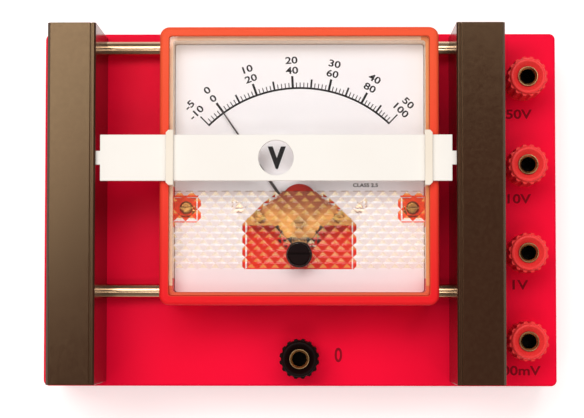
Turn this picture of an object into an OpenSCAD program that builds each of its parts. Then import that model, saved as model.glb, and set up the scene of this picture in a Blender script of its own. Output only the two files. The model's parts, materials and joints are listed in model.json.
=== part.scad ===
// Teaching-lab DC meter: a moving-coil movement in a clear-fronted case on a socket base.
// A sliding shutter of two bars, two rods and a strap bares either the voltage or the current sockets.
// Origin: middle of the footprint, on the surface the feet stand on. X runs right, Y away, Z up.

/* [Base] */
// Width of the base
base_w = 145; // [140:1:165]
// Length of the base
base_l = 100; // [97:1:115]
// Height of the base moulding, from its rim to the panel
base_h = 26; // [22:1:40]
// Wall of the base moulding
base_wall = 2.4; // [1.8:0.2:3.4]
// Thickness of the panel
panel_t = 2.6; // [2:0.2:4]
// Upright corner radius of the base
base_corner = 1.6; // [1.2:0.2:5]
// Rounding of the panel's edge
base_edge = 0.8; // [0.4:0.1:1]
// Thickness of the bottom cover
floor_t = 2.2; // [1.6:0.2:3]
// Height of the rubber feet
foot_h = 2; // [1:0.5:5]
// Diameter of the rubber feet
foot_d = 10; // [6:1:14]

/* [Meter case] */
// Width of the meter case
case_w = 75.4; // [74:0.2:79]
// Length of the meter case
case_l = 75.3; // [74:0.1:78]
// Distance from the panel's far edge to the case
case_back = 2; // [1.8:0.1:2.6]
// Height of the case's front above the panel
case_front = 25; // [24:0.5:30]
// Height of the plinth that carries the case
case_lift = 7.5; // [7:0.25:9]
// Wall of the meter case
case_wall = 3.5; // [3.2:0.1:4]
// Upright corner radius of the case
case_corner = 2.6; // [2.4:0.1:3.4]
// Rounding of the bezel's outer edge
bezel_round = 1.2; // [0.4:0.1:1.2]
// Width of the bezel, from the case's side to the clear cover
bezel_w = 2.5; // [2.2:0.1:2.8]

/* [Clear cover] */
// Thickness of the cover's front
cover_t = 2; // [1.5:0.1:2.4]
// How far the cover lies below the bezel
cover_sink = 0.4; // [0.2:0.1:0.6]
// Thickness of the gasket under the cover's rim
gasket_t = 0.3; // [0.2:0.05:0.5]
// Diagonal of one pyramid
pyramid_d = 3.2; // [2.4:0.05:4]
// Height of one pyramid
pyramid_h = 0.3; // [0.2:0.05:0.6]
// Length of the pyramid field
field_l = 21.2; // [18:0.1:24]
// Distance from the pyramid field's far edge to the needle's pivot
field_up = 8.5; // [8:0.1:11]

/* [Dial and needle] */
// Depth of the dial below the bezel
dial_depth = 9; // [8.4:0.1:10]
// Thickness of the dial plate
dial_t = 0.8; // [0.5:0.1:1.2]
// Distance from the lower rod to the needle's pivot
pivot_up = 18.2; // [18:0.1:20]
// Length of the needle from its pivot
needle_l = 37.6; // [30:0.2:44]
// Angle of the scale's zero, left of straight up
zero_angle = 34.4; // [30:0.2:40]
// Distance from the needle's pivot to the zero adjuster
adjuster_down = 8.6; // [8.4:0.1:9.4]
// Diameter of the zero adjuster's head
adjuster_d = 6.1; // [5:0.1:7]
// Offset of the adjuster's eccentric pin
adjuster_pin_off = 1; // [0.6:0.1:1.4]

/* [Movement] */
// Radius of the magnet core
core_r = 4.4; // [4:0.1:4.8]
// Height of the coil over its windings
coil_h = 9.6; // [8:0.1:10.6]
// Width of the coil's winding
coil_w = 3; // [2:0.1:3.4]
// Thickness of the coil's winding
winding_t = 0.75; // [0.5:0.05:0.9]
// Thickness of the coil former
former_t = 0.3; // [0.2:0.05:0.5]
// Wall of the yoke ring
yoke_t = 2.2; // [1.6:0.1:2.4]
// Half the distance between the bridge pillars
pillar_x = 10.6; // [10.5:0.1:11]

/* [Shutter] */
// Room between the case and a bar that stands nearest to it
bar_room = 4.5; // [2:0.1:6]
// Width of a bar
bar_w = 13; // [12:0.2:15]
// Height of a bar's top above the panel
bar_top = 28.3; // [27.6:0.1:34]
// Distance from the panel's edge to the bar's end
bar_inset = 1.4; // [0.6:0.1:1.5]
// Wall of a bar
bar_wall = 2.4; // [2.2:0.1:2.5]
// Distance that a bar reaches past the socket it covers
bar_over = 4.6; // [3:0.2:7]
// Diameter of the rods
rod_d = 4; // [3:0.1:4]
// Height of the rods above the panel
rod_up = 4; // [3.4:0.1:4.6]
// Distance from the case's far side to the upper rod
rod_far = 2.9; // [2.4:0.1:3.2]
// Distance from the case's near side to the lower rod
rod_near = 4.1; // [3:0.1:5]
// Width of the strap
strap_w = 12.4; // [10:0.1:15]
// Thickness of the strap
strap_t = 1.2; // [0.8:0.1:1.4]
// Distance from the needle's pivot to the strap's middle line
strap_up = 17.3; // [14:0.05:20]
// Diameter of the hole that shows the legend
hole_d = 9.5; // [6:0.1:10]

/* [Sockets] */
// Distance from the panel's side to a row of sockets
socket_inset = 9.5; // [8:0.1:11]
// Distance from the panel's far end to the first socket of a row
row_far = 14.1; // [13:0.1:15]
// Distance from the panel's near end to the last socket of a row
row_near = 12.9; // [12.8:0.1:15]
// Share of the spare room before the case that lies in front of the common socket
common_share = 0.144; // [0:0.002:0.5]
// Bore of a socket
socket_bore = 4.04; // [3.9:0.02:4.1]
// Outside diameter of a socket post
post_d = 5.4; // [5.2:0.1:6]
// Diameter of a socket's thumb cap
cap_d = 11; // [9:0.1:12]
// Height of a thumb cap's top above the panel
cap_top = 15; // [13:0.5:17]
// Thickness of the collar under a thumb cap
collar_t = 3; // [2:0.2:4]

/* [Fits] */
// Radial clearance of a running fit
run_gap = 0.05; // [0.03:0.01:0.08]
// Clearance round pieces that are put together by hand
fit_gap = 0.3; // [0.2:0.05:0.4]
// Clearance between pieces that slide past each other
slide_gap = 0.4; // [0.3:0.05:0.6]

/* [Hidden] */
$fn = 48;
SCALLOPS = 16;
ROW_COUNT = 4;

// Heights, upward from the table
cover_floor = foot_h + floor_t;
panel_z = foot_h + base_h;
case_z = panel_z + case_lift;
front_z = panel_z + case_front;
cover_z = front_z - cover_sink - cover_t;
dial_z = front_z - dial_depth;
bar_z = panel_z + bar_top;
strap_z = front_z + slide_gap;
rod_z = panel_z + rod_up;

// Places on the panel
case_far = base_l / 2 - case_back;
case_y = case_far - case_l / 2;
case_near = case_far - case_l;
rod_far_y = case_far - rod_far;
rod_near_y = case_near + rod_near;
pivot_y = rod_near_y + pivot_up;
adjuster_y = pivot_y - adjuster_down;
strap_y = pivot_y + strap_up;
socket_x = base_w / 2 - socket_inset;
socket_pitch = (base_l - row_far - row_near) / (ROW_COUNT - 1);
bar_inner = socket_x + bar_over - bar_w;
bar_l = base_l - 2 * bar_inset;
travel = bar_inner - case_w / 2 - bar_room;
left_x = -bar_inner;
right_x = bar_inner - travel;
rod_r = rod_d / 2;

// Cover, window and case cavity
rebate_w = case_w - 2 * bezel_w;
rebate_l = case_l - 2 * bezel_w;
rebate_corner = max(0.8, case_corner - bezel_w);
cover_w = rebate_w - fit_gap;
cover_l = rebate_l - fit_gap;
window_w = case_w - 2 * case_wall;
window_l = case_l - 2 * case_wall;
case_floor = 2;
screw_post_r = 3.4;

// Screws: shank radii, head radii and lengths
small_r = 0.8;
small_head_r = 1.4;
small_head_h = 0.7;
small_l = 4;
large_r = 1.2;
large_head_r = 2.2;
large_head_h = 1.4;
rod_screw_r = large_r + run_gap;
rod_screw_l = 6;
plate_screw_at = 10.9;
boss_screw_l = 9;
boss_hole_l = boss_screw_l + 3;
bottom_boss_r = 3;

// Movement, up and down from the dial
coil_gap = 0.45;
winding_top = dial_z - 0.3;
winding_bottom = winding_top - coil_h;
core_h = coil_h - 2 * (winding_t + former_t + coil_gap);
core_z = winding_bottom + winding_t + former_t + coil_gap;
coil_half = core_r + coil_gap + former_t + winding_t;
yoke_in = norm([coil_half, coil_w / 2]) + fit_gap;
yoke_out = yoke_in + yoke_t;
bar_slot_w = 2.4;
bar_slot_h = 3;
bar_slot_in = 0.6;
plate_t = 1.2;
plate_top = winding_bottom - 1.9;
plate_z = plate_top - plate_t;
plate_r = 12.8;
well_r = plate_r + 0.8;
well_floor_t = 1.6;
well_wall = 1.8;
pillar_r = 1.5;
pillar_y = pivot_y + 1.5;
blade_t = 0.3;
blade_z = dial_z + 1;
hub_r = 1.8;
hub_top = blade_z + blade_t;
bridge_z = hub_top + 2.2;
bridge_t = 1;
lever_t = 0.5;
lever_z = bridge_z - fit_gap - lever_t;
jewel_r = 1.5;
jewel_up = 0.5;
jewel_in = 0.7;
pivot_r = 0.4;
point_l = 0.45;
collet_t = 0.7;
tail_l = 7;
tail_w = 0.8;
cross_l = 12;
weight_r = 0.6;
weight_h = 0.7;
spring_t = 0.4;
spring_w = 0.16;
spring_in = 1.4;
spring_out = 4.2;
spring_turns = 3;
upper_spring_z = hub_top + 0.5;
lower_spring_z = plate_top + 1;
stud_r = 0.4;
stud_at = spring_out + spring_w + stud_r + 0.1;

// Zero adjuster
adjuster_boss = 0.9;
adjuster_r = adjuster_d / 2;
flange_r = adjuster_r + 0.6;
flange_t = 0.8;
flange_z = cover_z - adjuster_boss - fit_gap / 2 - flange_t;
pin_r = 0.6;
slot_gap = 0.1;

// Opening in the dial round the movement
eave_x = 15;
eave_y = pivot_y + 0.6;
ridge_r = 5;
ridge_y = pivot_y + 6;
shoulder_y = ridge_y + 2.4;
sill_y = pivot_y - 12.4;
mask_rim = 2.2;

// Screws and posts inside the case
dial_screw_x = 16.6;
dial_screw_y = pivot_y + 5;
case_screw_x = window_w / 2 - screw_post_r + run_gap * 4;
case_screw_y = pivot_y + 4.4;
case_screw_top = dial_z - dial_t;
case_head_r = 1.8;
notch_r = screw_post_r;
mask_t = 0.6;
mask_z = dial_z - dial_t - mask_t;
post_r = 2.4;
far_post_in = 4;
far_post_down = 9;

// Plinth and rod lugs
plinth_gap = 1.2;
plinth_far = rod_far_y - rod_r - plinth_gap;
plinth_near = rod_near_y + rod_r + plinth_gap;
plinth_w = case_w - 6;
lug_l = 8;
lug_x = case_w / 2 - 7;
lug_wall = 0.95;

// Bars
rod_seat = 1;
sink_t = 1;
tongue_w = 3.7;
tongue_l = 1.1;
tongue_in = 2;
lip_round = 0.45;
lip_w = 1.05;
groove_w = 0.45;
groove_d = 0.4;
bar_edge = 0.7;
guide_wall = 0.9;
guide_cut = 0.7;
guide_in = 1.3;
guide_out = 0.7;
rod_l = right_x - left_x + 2 * rod_seat;

// Sockets
cap_r = cap_d / 2;
scallop_r = 0.8;
scallop_in = 0.45;
crown_h = 1;
post_sink = 0.5;
crown_r = cap_r - scallop_in - 0.15;
funnel = 1.4;
post_r_out = post_d / 2;
stud_screw_r = 2;
stud_l = 12;
nut_r = 4.05;
nut_t = 3;
tag_r = 3.6;
tag_end_r = 1.5;
tag_t = 0.6;
tag_l = 9;
collar_r = cap_r - 0.4;
spigot_r = post_r_out + 0.6;
row_y = [for (k = [0:ROW_COUNT - 1]) base_l / 2 - row_far - k * socket_pitch];
v_spots = [for (y = row_y) [socket_x, y]];
a_spots = [for (y = row_y) [-socket_x, y]];
common_least = base_wall + nut_r;
common_spare = case_near + base_l / 2 - common_least - cap_r;
common_spot = [0, -base_l / 2 + common_least + common_share * common_spare];
all_spots = concat(v_spots, a_spots, [common_spot]);
nut_z = panel_z - panel_t - nut_t;
tag_z = nut_z - tag_t;
lead_r = 0.35;
resistor_r = 1.3;
resistor_l = 7;
shunt_wire_r = 0.6;
shunt_r = 0.9;
shunt_l = 12;

// Bottom screws and feet
bottom_x = base_w / 2 - 5.4;
bottom_y = base_l / 2 - 5.4;
bottom_sink = 1.2;
foot_x = base_w / 2 - 14;
foot_y = base_l / 2 - 14;

red = [0.86, 0.07, 0.17];
dark_brown = [0.27, 0.19, 0.14];
steel = [0.78, 0.78, 0.78];
brass = [0.8, 0.66, 0.32];
black = [0.08, 0.08, 0.09];
white = [0.95, 0.94, 0.91];

// Outlines and shared solids

module round_rect(w, l, c) {
  square([w - 2 * c, l], center = true);
  square([w, l - 2 * c], center = true);
  for (x = [-1, 1], y = [-1, 1])
    translate([x * (w / 2 - c), y * (l / 2 - c)]) circle(c);
}

module crown_profile(w, h, r) {
  translate([-w / 2, 0]) square([w, h - r]);
  translate([-w / 2 + r, 0]) square([w - 2 * r, h]);
  for (s = [-1, 1]) translate([s * (w / 2 - r), h - r]) circle(r);
}

module edge_profile(c, h, r) {
  square([c, h - r]);
  square([c - r, h]);
  intersection() {
    translate([c - r, h - r]) circle(r);
    square([c, h]);
  }
}

// Box with round upright corners and a round top edge
module soft_slab(w, l, h, c, r) {
  for (x = [-1, 1], y = [-1, 1])
    translate([x * (w / 2 - c), y * (l / 2 - c), 0]) rotate_extrude() edge_profile(c, h, r);
  rotate([90, 0, 90]) translate([0, 0, c - w / 2]) linear_extrude(w - 2 * c) crown_profile(l, h, r);
  rotate([90, 0, 0]) translate([0, 0, c - l / 2]) linear_extrude(l - 2 * c) crown_profile(w, h, r);
}

module rod_x(x0, length, r) {
  translate([x0, 0, 0]) rotate([0, 90, 0]) cylinder(h = length, r = r);
}

// Screw with a domed, slotted head; its shank points down from z = 0
module pan_screw(head_r, head_h, shank_r, shank_l) {
  difference() {
    union() {
      rotate_extrude() edge_profile(head_r, head_h, head_h * 0.5);
      translate([0, 0, -shank_l]) cylinder(h = shank_l, r = shank_r);
    }
    translate([0, 0, head_h]) cube([2 * head_r, head_r * 0.3, head_h], center = true);
  }
}

// Base

module base_case() {
  inner_w = base_w - 2 * base_wall;
  inner_l = base_l - 2 * base_wall;
  plinth_l = plinth_far - plinth_near;
  plinth_y = (plinth_far + plinth_near) / 2;
  color(red) difference() {
    union() {
      difference() {
        union() {
          translate([0, 0, foot_h]) soft_slab(base_w, base_l, base_h, base_corner, base_edge);
          translate([0, plinth_y, panel_z - 1])
            linear_extrude(case_lift + 1) round_rect(plinth_w, plinth_l, case_corner);
          for (s = [-1, 1], y = [rod_far_y, rod_near_y]) rod_lug(s * lug_x, y);
        }
        translate([0, 0, foot_h - 1])
          linear_extrude(base_h - panel_t + 1) round_rect(inner_w, inner_l, base_corner / 2);
        translate([0, plinth_y, foot_h])
          linear_extrude(base_h + case_lift - panel_t)
            round_rect(plinth_w - 2 * base_wall, plinth_l - 2 * base_wall, case_corner / 2);
      }
      for (x = [-1, 1], y = [-1, 1])
        translate([x * bottom_x, y * bottom_y, cover_floor])
          cylinder(h = panel_z - cover_floor - panel_t / 2, r = bottom_boss_r);
      for (s = [-1, 1])
        translate([s * case_screw_x, case_screw_y, panel_z - 1])
          cylinder(h = case_lift + 1, r = screw_post_r);
    }
    for (x = [-1, 1], y = [-1, 1])
      translate([x * bottom_x, y * bottom_y, foot_h]) cylinder(h = boss_hole_l, r = large_r + run_gap);
    for (p = all_spots)
      translate([p.x, p.y, panel_z - panel_t - 1]) cylinder(h = panel_t + 2, r = spigot_r + run_gap);
    for (s = [-1, 1])
      translate([s * case_screw_x, case_screw_y, panel_z - 2])
        cylinder(h = case_lift + 3, r = large_r + run_gap);
    translate([0, pivot_y, panel_z]) cylinder(h = case_lift + 1, r = well_r + well_wall + fit_gap);
    for (y = [rod_far_y, rod_near_y])
      translate([0, y, rod_z]) rod_x(-case_w / 2, case_w, rod_r + run_gap);
  }
}

// Block that carries a rod under the case's rim
module rod_lug(x, y) {
  lug_w = 2 * (rod_r + lug_wall);
  translate([x - lug_l / 2, y - lug_w / 2, panel_z - 1]) cube([lug_l, lug_w, case_lift + 1]);
}

module bottom_cover() {
  color(black) difference() {
    translate([0, 0, foot_h]) linear_extrude(floor_t)
      round_rect(base_w - 2 * base_wall - fit_gap, base_l - 2 * base_wall - fit_gap, base_corner / 2);
    for (x = [-1, 1], y = [-1, 1]) translate([x * bottom_x, y * bottom_y, foot_h]) {
      translate([0, 0, -1]) cylinder(h = floor_t + 2, r = large_r + fit_gap);
      translate([0, 0, -1]) cylinder(h = bottom_sink + 1, r = large_head_r + fit_gap);
    }
  }
}

module bottom_screws() {
  color(steel) for (x = [-1, 1], y = [-1, 1])
    translate([x * bottom_x, y * bottom_y, foot_h + bottom_sink]) mirror([0, 0, 1])
      pan_screw(large_head_r, bottom_sink, large_r, boss_screw_l);
}

module feet() {
  color(black) for (x = [-1, 1], y = [-1, 1])
    translate([x * foot_x, y * foot_y, foot_h]) mirror([0, 0, 1])
      rotate_extrude() edge_profile(foot_d / 2, foot_h, foot_h * 0.3);
}

// Meter case and cover

module meter_case() {
  color(red) difference() {
    union() {
      difference() {
        union() {
          translate([0, case_y, case_z])
            soft_slab(case_w, case_l, front_z - case_z, case_corner, bezel_round);
          translate([0, pivot_y, plate_z - well_floor_t])
            cylinder(h = case_z - plate_z + well_floor_t + 1, r = well_r + well_wall);
        }
        translate([0, case_y, case_z + case_floor]) linear_extrude(front_z - case_z)
          round_rect(window_w, window_l, rebate_corner);
        translate([0, case_y, cover_z - gasket_t]) linear_extrude(front_z - cover_z + gasket_t + 1)
          round_rect(rebate_w, rebate_l, rebate_corner);
        translate([0, pivot_y, plate_z]) cylinder(h = front_z - plate_z, r = well_r);
      }
      for (s = [-1, 1]) {
        translate([s * dial_screw_x, dial_screw_y, case_z])
          cylinder(h = mask_z - case_z, r = post_r);
        translate([s * (window_w / 2 - far_post_in), case_far - far_post_down, case_z])
          cylinder(h = dial_z - dial_t - case_z, r = post_r);
        screw_block(s);
      }
    }
    for (s = [-1, 1]) {
      translate([s * dial_screw_x, dial_screw_y, case_z + 1]) cylinder(h = front_z, r = small_r + run_gap);
      translate([s * case_screw_x, case_screw_y, case_z - 1]) cylinder(h = front_z, r = large_r + run_gap);
      translate([0, pivot_y + s * plate_screw_at, plate_z - well_floor_t - 1])
        cylinder(h = well_floor_t + 2, r = small_r + run_gap);
    }
  }
}

// Square block in a corner of the dial's notch, out to the case's wall
module screw_block(side) {
  inner = case_screw_x - screw_post_r;
  outer = case_w / 2 - case_wall / 2;
  translate([side > 0 ? inner : -outer, case_screw_y - screw_post_r, case_z])
    cube([outer - inner, 2 * screw_post_r, case_screw_top - case_z]);
}

module case_screws() {
  color(brass) for (s = [-1, 1])
    translate([s * case_screw_x, case_screw_y, case_screw_top])
      pan_screw(case_head_r, large_head_h, large_r, case_screw_top - case_z + boss_screw_l / 2);
}

// Peaks and valleys on a half-pitch grid, pointing down, on a backing sheet
module pyramid_field(w, l, d, h, back) {
  nx = round(2 * w / d);
  ny = round(2 * l / d);
  row = nx + 1;
  function peak(i, j) = (i + j) % 2 == 1 && i > 0 && i < nx && j > 0 && j < ny;
  function at(i, j) = j * row + i;
  sheet = [for (j = [0:ny], i = [0:nx])
    [w * (i / nx - 0.5), l * (j / ny - 0.5), peak(i, j) ? -h : 0]];
  corners = [[-w, -l, 2 * back] / 2, [w, -l, 2 * back] / 2, [w, l, 2 * back] / 2, [-w, l, 2 * back] / 2];
  n = len(sheet);
  facets = [for (j = [0:ny - 1], i = [0:nx - 1], k = [0, 1]) (i + j) % 2 == 0
    ? (k == 0 ? [at(i, j), at(i + 1, j), at(i + 1, j + 1)] : [at(i, j), at(i + 1, j + 1), at(i, j + 1)])
    : (k == 0 ? [at(i, j), at(i + 1, j), at(i, j + 1)] : [at(i + 1, j), at(i + 1, j + 1), at(i, j + 1)])];
  sides = [
    [n, n + 3, n + 2, n + 1],
    concat([n, n + 1], [for (i = [nx:-1:0]) at(i, 0)]),
    concat([n + 1, n + 2], [for (j = [ny:-1:0]) at(nx, j)]),
    concat([n + 2, n + 3], [for (i = [0:nx]) at(i, ny)]),
    concat([n + 3, n], [for (j = [0:ny]) at(0, j)])
  ];
  polyhedron(points = concat(sheet, corners), faces = concat(facets, sides));
}

module clear_cover() {
  field_y = pivot_y + field_up - field_l / 2;
  color([0.85, 0.92, 0.95, 0.35]) difference() {
    union() {
      translate([0, case_y, cover_z]) linear_extrude(cover_t) round_rect(cover_w, cover_l, rebate_corner);
      translate([0, field_y, cover_z])
        pyramid_field(window_w - 2 * fit_gap, field_l, pyramid_d, pyramid_h, cover_t / 2);
      translate([0, adjuster_y, cover_z - adjuster_boss])
        cylinder(h = adjuster_boss + 1, r = flange_r);
    }
    translate([0, adjuster_y, cover_z - adjuster_boss - 1])
      cylinder(h = cover_t + adjuster_boss + 2, r = adjuster_r + run_gap);
  }
}

// Flat ring between the cover's rim and the ledge of the case
module cover_gasket() {
  color(white) translate([0, case_y, cover_z - gasket_t]) linear_extrude(gasket_t) difference() {
    round_rect(cover_w, cover_l, rebate_corner);
    round_rect(window_w, window_l, rebate_corner);
  }
}

// Bridge over the strap, standing on the cover's rim
module strap_guide(side) {
  room_w = strap_w + 2 * fit_gap;
  guide_w = room_w + 2 * guide_wall;
  room_top = strap_z + strap_t + fit_gap;
  inner = cover_w / 2 - guide_in;
  outer = cover_w / 2 + guide_out;
  color(white) mirror([side < 0 ? 1 : 0, 0, 0]) difference() {
    translate([0, strap_y, cover_z + cover_t])
      linear_extrude(room_top + guide_wall - cover_z - cover_t) polygon([
        [inner, -guide_w / 2], [outer - guide_cut, -guide_w / 2], [outer, guide_cut - guide_w / 2],
        [outer, guide_w / 2 - guide_cut], [outer - guide_cut, guide_w / 2], [inner, guide_w / 2]
      ]);
    translate([inner - 1, strap_y - room_w / 2, cover_z])
      cube([outer - inner + 2, room_w, room_top - cover_z]);
    translate([cover_w / 2, strap_y - guide_w, cover_z])
      cube([outer, 2 * guide_w, front_z + fit_gap / 3 - cover_z]);
  }
}

// Dial

module dial_outline() {
  notch_x = window_w / 2 - case_screw_x + notch_r;
  difference() {
    translate([0, case_y]) round_rect(window_w - fit_gap, window_l - fit_gap, rebate_corner);
    movement_opening();
    for (s = [-1, 1])
      translate([s * window_w / 2, case_screw_y]) square([2 * notch_x, 2 * notch_r], center = true);
    for (s = [-1, 1]) translate([s * dial_screw_x, dial_screw_y]) circle(small_r + run_gap);
  }
}

// House-shaped cut with an arched ridge, round the movement
module movement_opening() {
  translate([0, ridge_y]) circle(ridge_r);
  polygon([
    [-eave_x, sill_y], [eave_x, sill_y], [eave_x, eave_y],
    [ridge_r, shoulder_y], [-ridge_r, shoulder_y], [-eave_x, eave_y]
  ]);
}

module dial_plate() {
  color(white) translate([0, 0, dial_z - dial_t]) linear_extrude(dial_t) dial_outline();
}

// Red sheet under the dial that closes its opening round the coil
module movement_mask() {
  mask_x = dial_screw_x + mask_rim;
  mask_near = sill_y - mask_rim / 2;
  color(red) translate([0, 0, mask_z]) linear_extrude(mask_t) difference() {
    union() {
      translate([-mask_x, mask_near]) square([2 * mask_x, dial_screw_y + mask_rim - mask_near]);
      translate([0, ridge_y]) circle(ridge_r + mask_rim);
    }
    translate([0, pivot_y]) circle(yoke_in);
    for (s = [-1, 1]) {
      translate([s * pillar_x, pillar_y]) circle(pillar_r + fit_gap);
      translate([s * dial_screw_x, dial_screw_y]) circle(small_r + run_gap);
    }
  }
}

module dial_screws() {
  color(steel) for (s = [-1, 1])
    translate([s * dial_screw_x, dial_screw_y, dial_z])
      pan_screw(small_head_r, small_head_h, small_r, small_l);
}

// Movement, fixed parts

module movement_plate() {
  color(brass) difference() {
    union() {
      translate([0, pivot_y, plate_z]) cylinder(h = plate_t, r = plate_r);
      for (s = [-1, 1])
        translate([s * pillar_x, pillar_y, plate_z]) cylinder(h = bridge_z - plate_z, r = pillar_r);
      for (a = [45:90:315]) translate([0, pivot_y, plate_z]) rotate(a)
        translate([(yoke_in + yoke_out) / 2, 0, 0]) cylinder(h = core_z - plate_z, r = yoke_t / 2);
      translate([stud_at, pivot_y, plate_z]) cylinder(h = lower_spring_z + spring_t - plate_z, r = stud_r);
    }
    translate([0, pivot_y, plate_z - 1]) cylinder(h = plate_t + 2, r = jewel_r + run_gap);
    for (s = [-1, 1]) {
      translate([0, pivot_y + s * plate_screw_at, plate_z - 1])
        cylinder(h = plate_t + 2, r = small_r + run_gap);
      translate([s * pillar_x, pillar_y, bridge_z - small_l])
        cylinder(h = small_l + 1, r = small_r + run_gap);
    }
  }
}

module plate_screws() {
  color(steel) for (s = [-1, 1])
    translate([0, pivot_y + s * plate_screw_at, plate_top])
      pan_screw(small_head_r, small_head_h, small_r, plate_t + well_floor_t);
}

module core_slot(length) {
  translate([-bar_slot_w / 2, pivot_y - length / 2, core_z + core_h / 2 - bar_slot_h / 2])
    cube([bar_slot_w, length, bar_slot_h]);
}

module yoke_ring() {
  color(steel) difference() {
    translate([0, pivot_y, core_z]) difference() {
      cylinder(h = core_h, r = yoke_out);
      translate([0, 0, -1]) cylinder(h = core_h + 2, r = yoke_in);
    }
    core_slot(2 * (yoke_in + bar_slot_in));
  }
}

module magnet_core() {
  color([0.3, 0.3, 0.32]) difference() {
    translate([0, pivot_y, core_z]) cylinder(h = core_h, r = core_r);
    core_slot(4 * core_r);
  }
}

module core_bar() {
  color(brass) core_slot(2 * (yoke_in + bar_slot_in));
}

module upper_bridge() {
  wing_x = pillar_x + 3.8;
  wing_low = pivot_y - 0.4;
  wing_high = pivot_y + 1.4;
  slope_x = pillar_x - 0.4;
  slope_y = pivot_y + 3.6;
  peak_x = 4.4;
  peak_y = pivot_y + 8.6;
  root_x = 5.5;
  root_y = wing_low - 0.4;
  stem_x = 3.4;
  stem_y = pivot_y - 4;
  color(brass) difference() {
    translate([0, 0, bridge_z]) linear_extrude(bridge_t) polygon([
      [-wing_x, wing_low], [-root_x, root_y], [-stem_x, stem_y], [stem_x, stem_y], [root_x, root_y],
      [wing_x, wing_low], [wing_x, wing_high], [slope_x, slope_y], [peak_x, peak_y],
      [-peak_x, peak_y], [-slope_x, slope_y], [-wing_x, wing_high]
    ]);
    translate([0, pivot_y, bridge_z - 1]) cylinder(h = bridge_t + 2, r = jewel_r + run_gap);
    for (s = [-1, 1])
      translate([s * pillar_x, pillar_y, bridge_z - 1]) cylinder(h = bridge_t + 2, r = small_r + run_gap);
  }
}

module bridge_screws() {
  color(steel) for (s = [-1, 1])
    translate([s * pillar_x, pillar_y, bridge_z + bridge_t])
      pan_screw(small_head_r, small_head_h, small_r, small_l);
}

// Slotted screw with a cone-shaped jewel cup in its end, pointing down from z = 0
module jewel_screw(length) {
  difference() {
    translate([0, 0, -length]) cylinder(h = length, r = jewel_r);
    cube([4 * jewel_r, jewel_r / 3, 2 * pivot_r], center = true);
    translate([0, 0, -length - 0.01]) cylinder(h = jewel_in, r1 = jewel_r / 2, r2 = 0);
  }
}

module jewel_screws() {
  upper_top = bridge_z + bridge_t + jewel_up;
  color(brass) {
    translate([0, pivot_y, upper_top]) jewel_screw(upper_top - lever_z);
    translate([0, pivot_y, plate_z]) mirror([0, 0, 1]) jewel_screw(plate_t + jewel_in);
  }
}

// Movement, moving parts, drawn with the needle on zero

module at_zero() {
  translate([0, pivot_y, 0]) rotate(zero_angle) children();
}

module coil_frame(half_x, z0, z1, w, t) {
  difference() {
    translate([-half_x, -w / 2, z0]) cube([2 * half_x, w, z1 - z0]);
    translate([t - half_x, -w, z0 + t]) cube([2 * (half_x - t), 2 * w, z1 - z0 - 2 * t]);
  }
}

module coil_former() {
  half = coil_half - winding_t;
  color([0.75, 0.76, 0.78]) at_zero()
    coil_frame(half, winding_bottom + winding_t, winding_top - winding_t, coil_w + 0.4, former_t);
}

module coil_winding() {
  color([0.72, 0.36, 0.16]) at_zero() rotate([90, 0, 0]) translate([0, 0, -coil_w / 2])
    linear_extrude(coil_w) translate([0, (winding_top + winding_bottom) / 2]) difference() {
      round_rect(2 * coil_half, coil_h, winding_t);
      square([2 * (coil_half - winding_t), coil_h - 2 * winding_t], center = true);
    }
}

// Disc glued to the coil, with a collet and a steel point
module pivot(length) {
  disc_r = hub_r - 0.2;
  disc_t = 0.4;
  collet_r = 1;
  tip_r = 0.02;
  cylinder(h = disc_t, r = disc_r);
  cylinder(h = collet_t, r = collet_r);
  cylinder(h = length - point_l, r = pivot_r);
  translate([0, 0, length - point_l]) cylinder(h = point_l, r1 = pivot_r, r2 = tip_r);
}

module pivots() {
  color(steel) at_zero() {
    translate([0, 0, winding_top]) pivot(lever_z + point_l - winding_top);
    translate([0, 0, winding_bottom]) mirror([0, 0, 1]) pivot(winding_bottom - plate_top - fit_gap);
  }
}

module needle() {
  hub_z = winding_top + collet_t;
  root_x = 0.5;
  tip_x = 0.16;
  color(black) at_zero() difference() {
    union() {
      translate([0, 0, hub_z]) cylinder(h = hub_top - hub_z, r = hub_r);
      translate([0, 0, blade_z]) linear_extrude(blade_t) {
        polygon([[-root_x, 0], [root_x, 0], [tip_x, needle_l], [-tip_x, needle_l]]);
        translate([-tail_w / 2, -tail_l]) square([tail_w, tail_l]);
        square([cross_l, tail_w], center = true);
      }
    }
    cylinder(h = front_z, r = pivot_r + run_gap / 2);
  }
}

module balance_weights() {
  side_x = cross_l / 2 - weight_r;
  color(steel) at_zero() for (p = [[0, weight_r - tail_l], [-side_x, 0], [side_x, 0]])
    translate([p.x, p.y, hub_top]) cylinder(h = weight_h, r = weight_r);
}

function spiral(t) = (spring_in + (spring_out - spring_in) * t)
  * [cos(360 * spring_turns * t), sin(360 * spring_turns * t)];

module hairspring() {
  steps = 20 * spring_turns;
  shrink = spring_w / spring_out;
  outer = [for (k = [0:steps]) spiral(k / steps) * (1 + shrink / (0.4 + k / steps))];
  inner = [for (k = [steps:-1:0]) spiral(k / steps)];
  linear_extrude(spring_t) polygon(concat(outer, inner));
}

module upper_hairspring() {
  color(brass) translate([0, pivot_y, upper_spring_z]) rotate(-90) hairspring();
}

module lower_hairspring() {
  color(brass) translate([0, pivot_y, lower_spring_z]) hairspring();
}

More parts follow.
